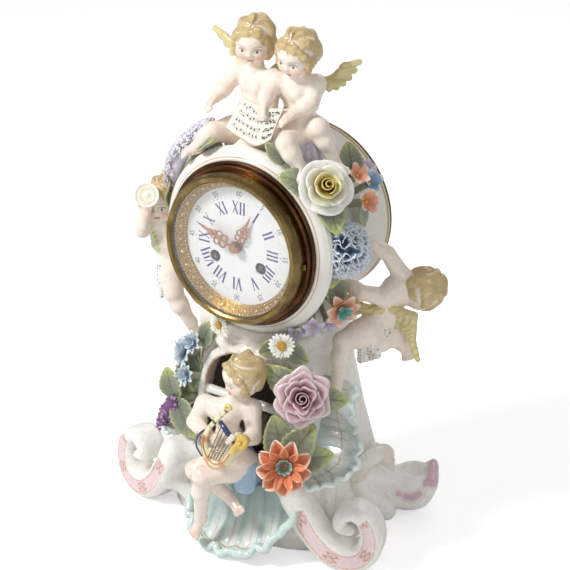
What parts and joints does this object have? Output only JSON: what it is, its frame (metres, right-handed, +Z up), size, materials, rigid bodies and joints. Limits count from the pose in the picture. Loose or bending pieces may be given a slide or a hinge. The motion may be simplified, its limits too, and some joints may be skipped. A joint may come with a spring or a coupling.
{
  "type": "table clock",
  "caption": "Porcelain table clock: drum case on a scrolled, footed base with winged children, flowers and leaves, round brass movement, striking bell and pendulum.",
  "frame": {"origin": "on the table, in the middle of the base floor's underside, below the drum's middle", "axes": "+Z up, the dial faces -Y, +X to the right as seen from the front"},
  "size_m": [0.2529, 0.1965, 0.4054],
  "materials": {
    "white_porcelain": "glossy glaze",
    "footed_porcelain": "glossy glaze, pink and gold painted",
    "turquoise_porcelain": "glossy glaze",
    "flesh_porcelain": "glossy glaze",
    "painted_porcelain": "glossy glaze, hand painted",
    "pink_porcelain": "glossy glaze",
    "orange_porcelain": "glossy glaze",
    "yellow_porcelain": "glossy glaze",
    "blue_porcelain": "glossy glaze",
    "purple_porcelain": "glossy glaze",
    "cream_porcelain": "glossy glaze",
    "leaf_porcelain": "glossy glaze",
    "brown_brass": "brown patina",
    "gilt_brass": "engraved and gilded",
    "brass": "polished",
    "enamel": "white enamel on copper",
    "glass": "clear",
    "steel": "polished",
    "copper_gilt": "copper-gold gilding",
    "bell_metal": "turned"
  },
  "bodies": {
    "case": {"base_body": "white_porcelain", "foot_front_left": "footed_porcelain", "foot_front_right": "footed_porcelain", "foot_back_left": "footed_porcelain", "foot_back_right": "footed_porcelain", "front_shell": "turquoise_porcelain", "rocaille_left": "turquoise_porcelain", "rocaille_right": "turquoise_porcelain", "saddle": "white_porcelain", "drum_case": "white_porcelain", "putto_musician": "flesh_porcelain", "lyre": "painted_porcelain", "putto_right": "flesh_porcelain", "putto_left": "flesh_porcelain", "cymbal": "painted_porcelain", "putto_top_left": "flesh_porcelain", "putto_top_right": "flesh_porcelain", "song_sheet": "painted_porcelain", "rose_pink": "pink_porcelain", "lily_orange": "orange_porcelain", "daisies": "yellow_porcelain", "blossoms_left": "blue_porcelain", "berry_cluster": "purple_porcelain", "leaves_base": "leaf_porcelain", "rose_cream": "cream_porcelain", "carnation_blue": "blue_porcelain", "bouquet_right": "orange_porcelain", "blossoms_right": "purple_porcelain", "lilac_left": "purple_porcelain", "leaves_drum": "leaf_porcelain", "bezel_flange": "brown_brass", "sight_ring": "gilt_brass", "dial": "enamel", "hinge_pins": "gilt_brass", "rear_ring": "brown_brass", "case_straps": "brass", "strap_screws": "steel", "front_plate": "brass", "back_plate": "brass", "suspension_cock": "brass", "bell": "bell_metal"},
    "bezel": {"bezel_ring": "gilt_brass", "bezel_glass": "glass"},
    "rear_door": {"rear_door": "gilt_brass"},
    "centre": {"centre_wheel": "brass", "cannon_pinion": "brass", "minute_hand": "copper_gilt"},
    "hour": {"hour_wheel": "brass", "hour_hand": "copper_gilt"},
    "minute_work": {"minute_wheel": "brass"},
    "third": {"third_wheel": "brass"},
    "escape": {"escape_wheel": "brass"},
    "intermediate": {"intermediate_wheel": "brass"},
    "going": {"going_barrel": "brass"},
    "strike": {"strike_barrel": "brass"},
    "winding_right": {"winding_arbor_right": "steel"},
    "winding_left": {"winding_arbor_left": "steel"},
    "pallets": {"pallets": "steel"},
    "pendulum": {"pendulum": "brass"},
    "hammer": {"bell_hammer": "steel"}
  },
  "joints": [
    {"name": "bezel_hinge", "type": "hinge", "parent": "case", "child": "bezel", "pos_m": [-0.0602, -0.0632, 0.244], "axis": [0, 0, -1], "range_deg": [0, 95]},
    {"name": "rear_door_hinge", "type": "hinge", "parent": "case", "child": "rear_door", "pos_m": [-0.0632, 0.04435, 0.244], "axis": [0, 0, 1], "range_deg": [0, 100]},
    {"name": "centre_turn", "type": "hinge", "parent": "case", "child": "centre", "pos_m": [0, -0.04, 0.244], "axis": [0, 1, 0], "continuous": true},
    {"name": "hour_turn", "type": "hinge", "parent": "case", "child": "hour", "pos_m": [0, -0.055, 0.244], "axis": [0, 1, 0], "continuous": true},
    {"name": "minute_work_turn", "type": "hinge", "parent": "case", "child": "minute_work", "pos_m": [0, -0.053, 0.256], "axis": [0, 1, 0], "continuous": true},
    {"name": "third_turn", "type": "hinge", "parent": "case", "child": "third", "pos_m": [-0.00424, -0.04, 0.25982], "axis": [0, 1, 0], "continuous": true},
    {"name": "escape_turn", "type": "hinge", "parent": "case", "child": "escape", "pos_m": [0, -0.04, 0.27308], "axis": [0, 1, 0], "continuous": true},
    {"name": "intermediate_turn", "type": "hinge", "parent": "case", "child": "intermediate", "pos_m": [0.01504, -0.04, 0.25148], "axis": [0, 1, 0], "continuous": true},
    {"name": "going_turn", "type": "hinge", "parent": "case", "child": "going", "pos_m": [0.02, -0.04, 0.2314], "axis": [0, 1, 0], "continuous": true},
    {"name": "strike_turn", "type": "hinge", "parent": "case", "child": "strike", "pos_m": [-0.02, -0.04, 0.2314], "axis": [0, 1, 0], "continuous": true},
    {"name": "winding_right_turn", "type": "hinge", "parent": "case", "child": "winding_right", "pos_m": [0.02, -0.04, 0.2314], "axis": [0, 1, 0], "continuous": true},
    {"name": "winding_left_turn", "type": "hinge", "parent": "case", "child": "winding_left", "pos_m": [-0.02, -0.04, 0.2314], "axis": [0, 1, 0], "continuous": true},
    {"name": "pendulum_swing", "type": "hinge", "parent": "case", "child": "pendulum", "pos_m": [0, -0.013, 0.28308], "axis": [0, 1, 0], "range_deg": [-4, 4]},
    {"name": "pallet_swing", "type": "hinge", "parent": "case", "child": "pallets", "pos_m": [0, -0.03, 0.28308], "axis": [0, 1, 0], "range_deg": [-4, 4]},
    {"name": "hammer_lift", "type": "hinge", "parent": "case", "child": "hammer", "pos_m": [-0.03157, -0.02, 0.2643], "axis": [0, 1, 0], "range_deg": [0, 12]}
  ],
  "couplings": [
    {"joint": "hour_turn", "follows": "centre_turn", "ratio": 0.083333},
    {"joint": "minute_work_turn", "follows": "centre_turn", "ratio": -0.33333},
    {"joint": "third_turn", "follows": "centre_turn", "ratio": -12},
    {"joint": "escape_turn", "follows": "centre_turn", "ratio": 137.14},
    {"joint": "intermediate_turn", "follows": "centre_turn", "ratio": -0.14286},
    {"joint": "going_turn", "follows": "centre_turn", "ratio": 0.017007},
    {"joint": "pallet_swing", "follows": "pendulum_swing", "ratio": 1}
  ]
}
